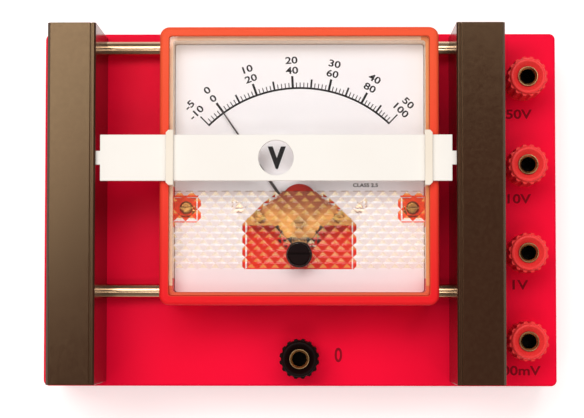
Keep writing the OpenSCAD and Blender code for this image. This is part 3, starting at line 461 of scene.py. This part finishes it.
def makeClear(look, screws):
    # refracts what is seen; far facets get a warm diffuse coat, a painted highlight for the lamplight they
    # catch, and near ones a darker tint, painted shade; over the screws the normal loses its X and Y, as on
    # a flat sheet; shadow rays and soft bounces go straight through
    material, tree, shader = startMaterial("clearAcrylic")
    inside, far, near, shadeDashes = addFacets(tree, look)
    spots = addMath(tree, "MULTIPLY", addSpots(tree, screws, look["flat"] * mm), inside)
    far = addMath(tree, "MULTIPLY", far, addMath(tree, "SUBTRACT", 1.0, spots))
    surface = addNode(tree, "ShaderNodeNewGeometry")
    keep = addNode(tree, "ShaderNodeCombineXYZ")
    level = addNode(tree, "ShaderNodeVectorMath", operation="MULTIPLY")
    even = addNode(tree, "ShaderNodeVectorMath", operation="NORMALIZE")
    for axis in "XY":
        tree.links.new(addMath(tree, "SUBTRACT", 1.0, spots), keep.inputs[axis])
    keep.inputs["Z"].default_value = 1.0
    tree.links.new(surface.outputs["Normal"], level.inputs[0])
    tree.links.new(keep.outputs[0], level.inputs[1])
    tree.links.new(level.outputs[0], even.inputs[0])
    tree.links.new(even.outputs[0], shader.inputs["Normal"])
    # painted shade: near facets are tinted darker
    tint = addMix(tree, near, paint(*look["tint"]), paint(*look["nearShade"]))
    tree.links.new(addMix(tree, shadeDashes, tint, paint(*look["stepShade"]["tone"])), shader.inputs["Base Color"])
    shader.inputs["Roughness"].default_value = look["rough"]
    shader.inputs["IOR"].default_value = look["ior"]
    shader.inputs["Transmission Weight"].default_value = 1.0
    shader.inputs["Specular IOR Level"].default_value = look["gloss"]
    # painted highlight: a warm diffuse coat on far facets stands in for the lamps they reflect
    farGlint = addNode(tree, "ShaderNodeBsdfDiffuse")
    farGlint.inputs["Color"].default_value = paint(*look["farGlintTone"])
    glinted = addNode(tree, "ShaderNodeMixShader")
    tree.links.new(addMath(tree, "MULTIPLY", far, look["farGlint"]), glinted.inputs[0])
    tree.links.new(shader.outputs[0], glinted.inputs[1])
    tree.links.new(farGlint.outputs[0], glinted.inputs[2])
    path = addNode(tree, "ShaderNodeLightPath")
    through = addNode(tree, "ShaderNodeBsdfTransparent")
    either = addMath(tree, "MAXIMUM", path.outputs["Is Shadow Ray"], path.outputs["Is Diffuse Ray"])
    choose = addNode(tree, "ShaderNodeMixShader")
    tree.links.new(either, choose.inputs[0])
    tree.links.new(glinted.outputs[0], choose.inputs[1])
    tree.links.new(through.outputs[0], choose.inputs[2])
    tree.links.new(choose.outputs[0], tree.nodes["Material Output"].inputs["Surface"])
    return material


screwLow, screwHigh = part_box("case_screws")
screwRound = (screwHigh.y - screwLow.y) / 2
screwRow = (screwLow.y + screwHigh.y) / 2
screwSpots = [(screwLow.x + screwRound, screwRow), (screwHigh.x - screwRound, screwRow)]
dress("clear_cover", makeClear(clearAcrylic, screwSpots))


# socket posts: nickel on the rim, with painted shade down the bore
socketNickel = dict(
    tone=(206, 168, 122), shade=(180, 142, 100), bore=(20, 17, 15), rim=0.9, fade=0.7,
    grain=3000.0, cloud=200.0, lines=(500.0, 500.0, 5000.0), rough=(0.16, 0.3))


def makeNickel(look, top):
    # rim colour above top - rim, painted shade below it by fade, along the post's height
    material, tree, shader = startMaterial("socketNickel")
    grain = useGroup(tree, grainGroup, grain=look["grain"], cloud=look["cloud"])
    lines = useGroup(tree, linesGroup, squeeze=look["lines"]).outputs["Lines"]
    edge = top - look["rim"] * mm
    rimMask = addRange(tree, addAxes(tree)["Z"], 0, 1, edge - look["fade"] * mm, edge)
    rim = addMix(tree, grain.outputs["Tone"], paint(*look["tone"]), paint(*look["shade"]))
    tree.links.new(addMix(tree, rimMask, paint(*look["bore"]), rim), shader.inputs["Base Color"])
    tree.links.new(addRange(tree, lines, *look["rough"]), shader.inputs["Roughness"])
    shader.inputs["Metallic"].default_value = 1.0
    return material


nickel = makeNickel(socketNickel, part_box("v_posts")[1].z)
for name in ("v_posts", "a_posts", "common_post"):
    dress(name, nickel)


# coil winding: enamelled copper turns round the coil
copperTurns = dict(
    tone=(190, 92, 44), gap=(92, 40, 20), pitch=0.12, turned=-34.4, depth=0.04, shine=0.8, rough=0.35)


def makeCopper(look):
    # bands one wire apart across the coil, painted shade in the gaps, raised on the turns; a wave repeats
    # after pi / 10 / scale
    material, tree, shader = startMaterial("copperTurns")
    place = addNode(tree, "ShaderNodeTexCoord")
    turn = addNode(tree, "ShaderNodeMapping")
    turn.inputs["Rotation"].default_value = (0, 0, math.radians(look["turned"]))
    band = addNode(tree, "ShaderNodeTexWave", bands_direction="Y")
    band.inputs["Scale"].default_value = math.pi / 10 / (look["pitch"] * mm)
    tree.links.new(place.outputs["Object"], turn.inputs["Vector"])
    tree.links.new(turn.outputs[0], band.inputs["Vector"])
    tree.links.new(addMix(tree, band.outputs[1], paint(*look["gap"]), paint(*look["tone"])),
                   shader.inputs["Base Color"])
    bump = addNode(tree, "ShaderNodeBump")
    bump.inputs["Distance"].default_value = look["depth"] * mm
    tree.links.new(band.outputs[1], bump.inputs["Height"])
    tree.links.new(bump.outputs[0], shader.inputs["Normal"])
    shader.inputs["Metallic"].default_value = look["shine"]
    shader.inputs["Roughness"].default_value = look["rough"]
    return material


dress("coil_winding", makeCopper(copperTurns))


# series resistors: lacquered bodies with colour rings on tinned leads
resistorRings = dict(
    body=(196, 168, 122), lead=(190, 190, 186), bodyHalf=3.5, pitch=24.333, slack=0.001, rough=0.35,
    rings=[((0.0, 0.5), (150, 20, 20)), ((1.1, 1.7), (40, 30, 30)), ((2.3, 2.8), (190, 150, 50))])


def makeResistor(look, middle):
    # distance along Y from the nearest body's middle picks the body, its rings or the lead
    material, tree, shader = startMaterial("resistorRings")
    along = addMath(tree, "SUBTRACT", addAxes(tree)["Y"], middle)
    away = addMath(tree, "PINGPONG", along, look["pitch"] / 2 * mm)
    colour = paint(*look["body"])
    for (near, far), ring in look["rings"]:
        inside = addMath(tree, "MULTIPLY", addMath(tree, "GREATER_THAN", away, (near - look["slack"]) * mm),
                         addMath(tree, "LESS_THAN", away, far * mm))
        colour = addMix(tree, inside, colour, paint(*ring))
    bare = addMath(tree, "GREATER_THAN", away, look["bodyHalf"] * mm)
    tree.links.new(addMix(tree, bare, colour, paint(*look["lead"])), shader.inputs["Base Color"])
    tree.links.new(bare, shader.inputs["Metallic"])
    shader.inputs["Roughness"].default_value = look["rough"]
    return material


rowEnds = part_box("series_resistors")
dress("series_resistors", makeResistor(resistorRings, (rowEnds[0].y + rowEnds[1].y) / 2))
print("finishes: dial, cover, coil and resistors")


# printed marks, made as thin slabs

def addPiece(name, points, faces, body, material, slot):
    # a mesh as a piece that goes with one body
    mesh = bpy.data.meshes.new(name)
    mesh.from_pydata(np.asarray(points).tolist(), [], [list(f) for f in faces])
    mesh.materials.append(material)
    mesh.validate()
    piece = bpy.data.objects.new(name, mesh)
    scene.collection.objects.link(piece)
    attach(piece, body)


def joinSlabs(slabs):
    # many small meshes as one: each one's faces move on by the points before it
    points, faces, count = [], [], 0
    for p, f in slabs:
        points.append(p)
        faces += [[i + count for i in face] for face in f]
        count += len(p)
    return np.concatenate(points), faces


def barSlabs(starts, ends, widths, low, high):
    # straight strokes: each end moved half a width to either side, at two heights
    along = ends - starts
    side = np.stack([-along[:, 1], along[:, 0]], 1)
    side *= (widths / 2 / np.linalg.norm(along, axis=1))[:, None]
    flat = np.stack([starts - side, ends - side, ends + side, starts + side], 1)
    corners = np.concatenate([
        np.concatenate([flat, np.full((*flat.shape[:2], 1), z)], 2) for z in (low, high)], 1)
    one = np.array([[0, 1, 2, 3], [7, 6, 5, 4], [0, 4, 5, 1], [1, 5, 6, 2], [2, 6, 7, 3], [3, 7, 4, 0]])
    faces = one[None] + 8 * np.arange(len(starts))[:, None, None]
    return corners.reshape(-1, 3), faces[:, :, ::-1].reshape(-1, 4).tolist()


def arcSlab(centre, radius, width, turns, low, high):
    # a small upright rectangle carried along a circle; turns count clockwise from straight up
    ring = np.array([[-width / 2, low], [width / 2, low], [width / 2, high], [-width / 2, high]])
    r = radius + ring[None, :, 0]
    points = np.stack([
        centre[0] + r * np.sin(turns)[:, None], centre[1] + r * np.cos(turns)[:, None],
        np.broadcast_to(ring[None, :, 1], (len(turns), 4))], 2).reshape(-1, 3)
    k, j = np.meshgrid(np.arange(len(turns) - 1), np.arange(4), indexing="ij")
    a, b = 4 * k + j, 4 * k + (j + 1) % 4
    sides = np.stack([a, a + 4, b + 4, b], 2).reshape(-1, 4)
    last = 4 * (len(turns) - 1)
    return points, sides[:, ::-1].tolist() + [[0, 1, 2, 3], [last + i for i in (3, 2, 1, 0)]]


def wordSlab(words, tall, low, high, stretch, heavy):
    # filled letters, centred, scaled to the height tall, with their thickness from low to high
    curve = bpy.data.curves.new("letters", "FONT")
    curve.body = words
    curve.extrude = 0.5  # gives two layers, moved to low and high below
    curve.offset = heavy
    curve.resolution_u = 4
    holder = bpy.data.objects.new("letters", curve)
    scene.collection.objects.link(holder)
    mesh = bpy.data.meshes.new_from_object(holder.evaluated_get(bpy.context.evaluated_depsgraph_get()))
    points = np.empty(len(mesh.vertices) * 3)
    mesh.vertices.foreach_get("co", points)
    points = points.reshape(-1, 3)
    faces = [list(p.vertices) for p in mesh.polygons]
    bpy.data.objects.remove(holder)
    bpy.data.curves.remove(curve)
    bpy.data.meshes.remove(mesh)
    least, most = points.min(0), points.max(0)
    scale = tall / (most[1] - least[1])
    points = (points - (least + most) / 2) * (scale * stretch, scale, 1)
    points[:, 2] = np.where(points[:, 2] > 0, high, low)
    return points, faces


def setDown(slab, turn, x, y):
    # turns a slab clockwise about its middle, then moves it
    points, faces = slab
    c, s = math.cos(turn), math.sin(turn)
    moved = points @ np.array([[c, -s, 0], [s, c, 0], [0, 0, 1]]) + (x, y, 0)
    return moved, faces


def makeInk(name, tone, shade, rough):
    # print with a slightly uneven coat
    look = dict(tone=tone, shade=shade, rough=rough, grain=3000.0, cloud=400.0, round=0.02, wear=0.0,
                shader=satin)
    return makeFinish(name, look)


dialBlack = makeInk("dialInk", (10, 6, 7), (22, 15, 17), (0.5, 0.7))
panelInk = makeInk("panelInk", (136, 8, 28), (152, 10, 32), (0.4, 0.55))

# dial scale: the needle's angles are clockwise from straight up
dialScale = dict(
    centre=(0.13, 1.87), radius=35.47, line=0.52, steps=121, proud=0.005,
    zero=-36.17, first=1.692, second=-0.00196, least=-5, most=50, numbers=(-5, 0, 10, 20, 30, 40, 50),
    strokes={"major": (3.35, 0.62), "middle": (2.5, 0.5), "fine": (1.5, 0.24), "end": (3.35, 0.36)},
    inner=40.4, outer=43.2, tall=1.95, wide=1.3, heavy=0.02, thick=0.03, sink=0.01)
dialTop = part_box("dial_plate")[1].z
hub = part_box("yoke_ring")
pivot = np.array([(hub[0].x + hub[1].x) / 2, (hub[0].y + hub[1].y) / 2])
scaleMiddle = pivot + np.array(dialScale["centre"]) * mm  # printed a little above the pivot
inkLow = dialTop - dialScale["sink"] * mm
inkHigh = dialTop + dialScale["thick"] * mm


def scaleTurn(value):
    # angle of a reading on the 50 scale: zero + first * v + second * v^2, in radians
    v = np.asarray(value, float)
    return np.radians(dialScale["zero"] + dialScale["first"] * v + dialScale["second"] * v * v)


def onDial(turn, radius):
    # point at an angle and a distance in mm from the scale's middle
    return scaleMiddle + radius * mm * np.stack([np.sin(turn), np.cos(turn)], -1)


readings = np.arange(dialScale["least"], dialScale["most"] + 1)
kinds = np.where(readings % 10 == 0, "major", np.where(readings % 5 == 0, "middle", "fine"))
kinds[[0, -1]] = "end"
lengths = np.array([dialScale["strokes"][k][0] for k in kinds])
widths = np.array([dialScale["strokes"][k][1] for k in kinds]) * mm
turns = scaleTurn(readings)
inner = dialScale["radius"] - dialScale["line"] / 2
strokes = barSlabs(onDial(turns, inner), onDial(turns, dialScale["radius"] + lengths[:, None]),
                   widths, inkLow, inkHigh)
sweep = np.linspace(turns[0], turns[-1], dialScale["steps"])
arc = arcSlab(scaleMiddle, dialScale["radius"] * mm, dialScale["line"] * mm, sweep,
              inkLow, inkHigh + dialScale["proud"] * mm)
addPiece("scaleStrokes", *joinSlabs([strokes, arc]), "base", dialBlack, "needle_black")

marks = []
for reading in dialScale["numbers"]:
    turn = float(scaleTurn(reading))
    for ring, number in (("outer", reading), ("inner", 2 * reading)):
        word = wordSlab(str(number), dialScale["tall"] * mm, inkLow, inkHigh,
                        dialScale["wide"], dialScale["heavy"])
        marks.append(setDown(word, turn, *onDial(turn, dialScale[ring])))
addPiece("scaleNumbers", *joinSlabs(marks), "base", dialBlack, "needle_black")
print("dial: scale and numbers printed")

# legends that show through the strap's hole, one at each end of its travel
legends = dict(tall=6.2, heavy=0.05, wide=0.84, up=0.85)
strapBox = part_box("strap")
travel = next(j for j in frame["joints"] if j["name"] == "carriage_slide")["range_m"][1]
strapMid = (strapBox[0] + strapBox[1]) / 2
for letter, x in (("V", strapMid.x), ("A", strapMid.x + travel)):
    word = wordSlab(letter, legends["tall"] * mm, inkLow, inkHigh, legends["wide"], legends["heavy"])
    addPiece("legend" + letter, *setDown(word, 0, x, strapMid.y + legends["up"] * mm), "base", dialBlack,
             "needle_black")

# accuracy class, small, on the dial's right
classMark = dict(words="CLASS 2.5", tall=1.0, wide=1.2, heavy=0.02, x=18.1, y=5.6)
word = wordSlab(classMark["words"], classMark["tall"] * mm, inkLow, inkHigh,
                classMark["wide"], classMark["heavy"])
addPiece("classMark", *setDown(word, 0, classMark["x"] * mm, classMark["y"] * mm), "base", dialBlack,
         "needle_black")
print("dial: legends printed")

# panel: ranges beside the sockets, stamped in dark red
panelMarks = dict(
    tall=2.7, wide=1.25, heavy=0.02, thick=0.03, sink=0.01,
    collar=3.0,  # the collars stand this far above the panel
    below=(8.9, 8.6, 8.6, 8.45), nudge=(-0.9, -0.9, -0.7, -1.3),
    volts=["50V", "10V", "1V", "100mV"], amps=["5A", "1A", "100mA", "1mA"],
    common=dict(words="0", right=10.9, up=0.8, tall=4.1, wide=0.8))
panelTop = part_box("red_collars")[1].z - panelMarks["collar"] * mm
panelLow, panelHigh = panelTop - panelMarks["sink"] * mm, panelTop + panelMarks["thick"] * mm


def capSpot(name):
    # middle of a cap, seen from above
    low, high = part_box(name)
    return (low.x + high.x) / 2, (low.y + high.y) / 2


marks = []
for k in range(4):
    for row, side, words in (("v", 1, panelMarks["volts"][k]), ("a", -1, panelMarks["amps"][k])):
        x, y = capSpot(f"{row}_cap_{k + 1}")
        right, below = side * panelMarks["nudge"][k] * mm, panelMarks["below"][k] * mm
        word = wordSlab(words, panelMarks["tall"] * mm, panelLow, panelHigh,
                        panelMarks["wide"], panelMarks["heavy"])
        marks.append(setDown(word, 0, x + right, y - below))
common = panelMarks["common"]
x, y = capSpot("common_cap")
word = wordSlab(common["words"], common["tall"] * mm, panelLow, panelHigh,
                common["wide"], panelMarks["heavy"])
marks.append(setDown(word, 0, x + common["right"] * mm, y + common["up"] * mm))
addPiece("panelRanges", *joinSlabs(marks), "base", panelInk, "red_base")
print("panel: ranges printed")

# stage: pale floor, pale surroundings, soft lamps round the camera, none where the cover would mirror it
studio = dict(
    floorHalf=12.0, floorCells=8, floorDrop=0.05, floorTone=(246, 246, 246), floorShade=(243, 243, 243),
    floorGrain=800.0, floorCloud=3.0, floorRough=0.9, lift=(0.42, 0.8), liftFrom=(0.3, 1.6),
    surround=0.3, surroundTone=(1.0, 0.96, 0.92), lampTone=(1.0, 0.975, 0.945),
    lamps=[  # name, place, size and watts
        ("leftLamp", (-0.39, 0.26, 1.15), (0.42, 0.5), 4.18),
        ("farLamp", (0.05, 0.5, 1.15), (0.6, 0.4), 3.98),
        ("nearLamp", (0.0, -0.42, 1.1), (0.3, 0.25), 1.33),
        ("rightLamp", (0.6, 0.1, 1.1), (0.4, 0.4), 1.14),
        ("lowLeftLamp", (-0.7, -0.75, 0.9), (0.3, 0.3), 0.81),
        ("lowRightLamp", (0.7, -0.75, 0.9), (0.3, 0.3), 0.81),
    ])


def makeFloor(look):
    # a flat sheet that keeps shadows; where it is seen, mirrored or looked at through the cover it is lifted
    # towards white, more where it is far from the lamps
    material, tree, shader = startMaterial("floorPaper")
    grain = useGroup(tree, grainGroup, grain=look["floorGrain"], cloud=look["floorCloud"])
    tone = addMix(tree, grain.outputs["Tone"], paint(*look["floorTone"]), paint(*look["floorShade"]))
    tree.links.new(tone, shader.inputs["Base Color"])
    shader.inputs["Roughness"].default_value = look["floorRough"]
    shader.inputs["Specular IOR Level"].default_value = 0.0
    shader.inputs["Emission Color"].default_value = (1, 1, 1, 1)
    path = addNode(tree, "ShaderNodeLightPath")
    bent = addMath(tree, "MAXIMUM", path.outputs["Is Glossy Ray"], path.outputs["Is Transmission Ray"])
    seen = addMath(tree, "MAXIMUM", path.outputs["Is Camera Ray"], bent)
    place = addNode(tree, "ShaderNodeTexCoord")
    away = addNode(tree, "ShaderNodeVectorMath", operation="LENGTH")
    tree.links.new(place.outputs["Object"], away.inputs[0])
    lift = addRange(tree, away.outputs["Value"], *look["lift"], *look["liftFrom"])
    tree.links.new(addMath(tree, "MULTIPLY", seen, lift), shader.inputs["Emission Strength"])
    return material


cells = studio["floorCells"]
row = cells + 1  # points along one side
spread = np.linspace(-studio["floorHalf"], studio["floorHalf"], row)
u, v = np.meshgrid(spread, spread, indexing="ij")
k, j = np.meshgrid(np.arange(cells), np.arange(cells), indexing="ij")
a = row * k + j
floorPoints = np.stack([u, v, np.full_like(u, -studio["floorDrop"] * mm)], 2).reshape(-1, 3)
floorFaces = np.stack([a, a + row, a + row + 1, a + 1], 2).reshape(-1, 4)
floorMesh = bpy.data.meshes.new("floor")
floorMesh.from_pydata(floorPoints.tolist(), [], floorFaces.tolist())
floorMesh.materials.append(makeFloor(studio))
floor = bpy.data.objects.new("floor", floorMesh)
scene.collection.objects.link(floor)

world = bpy.data.worlds.new("studio")
world.use_nodes = True
scene.world = world
sky = world.node_tree
sky.nodes["Background"].inputs["Color"].default_value = (*studio["surroundTone"], 1)
sky.nodes["Background"].inputs["Strength"].default_value = studio["surround"]

for name, place, (wide, tall), watts in studio["lamps"]:
    lamp = bpy.data.lights.new(name, "AREA")
    lamp.shape = "RECTANGLE"
    lamp.size, lamp.size_y, lamp.energy, lamp.color = wide, tall, watts, studio["lampTone"]
    holder = bpy.data.objects.new(name, lamp)
    holder.matrix_world = (Matrix.Translation(place)
                           @ (-Vector(place)).to_track_quat("-Z", "Y").to_matrix().to_4x4())
    scene.collection.objects.link(holder)
print("stage: floor, surround and lamps")
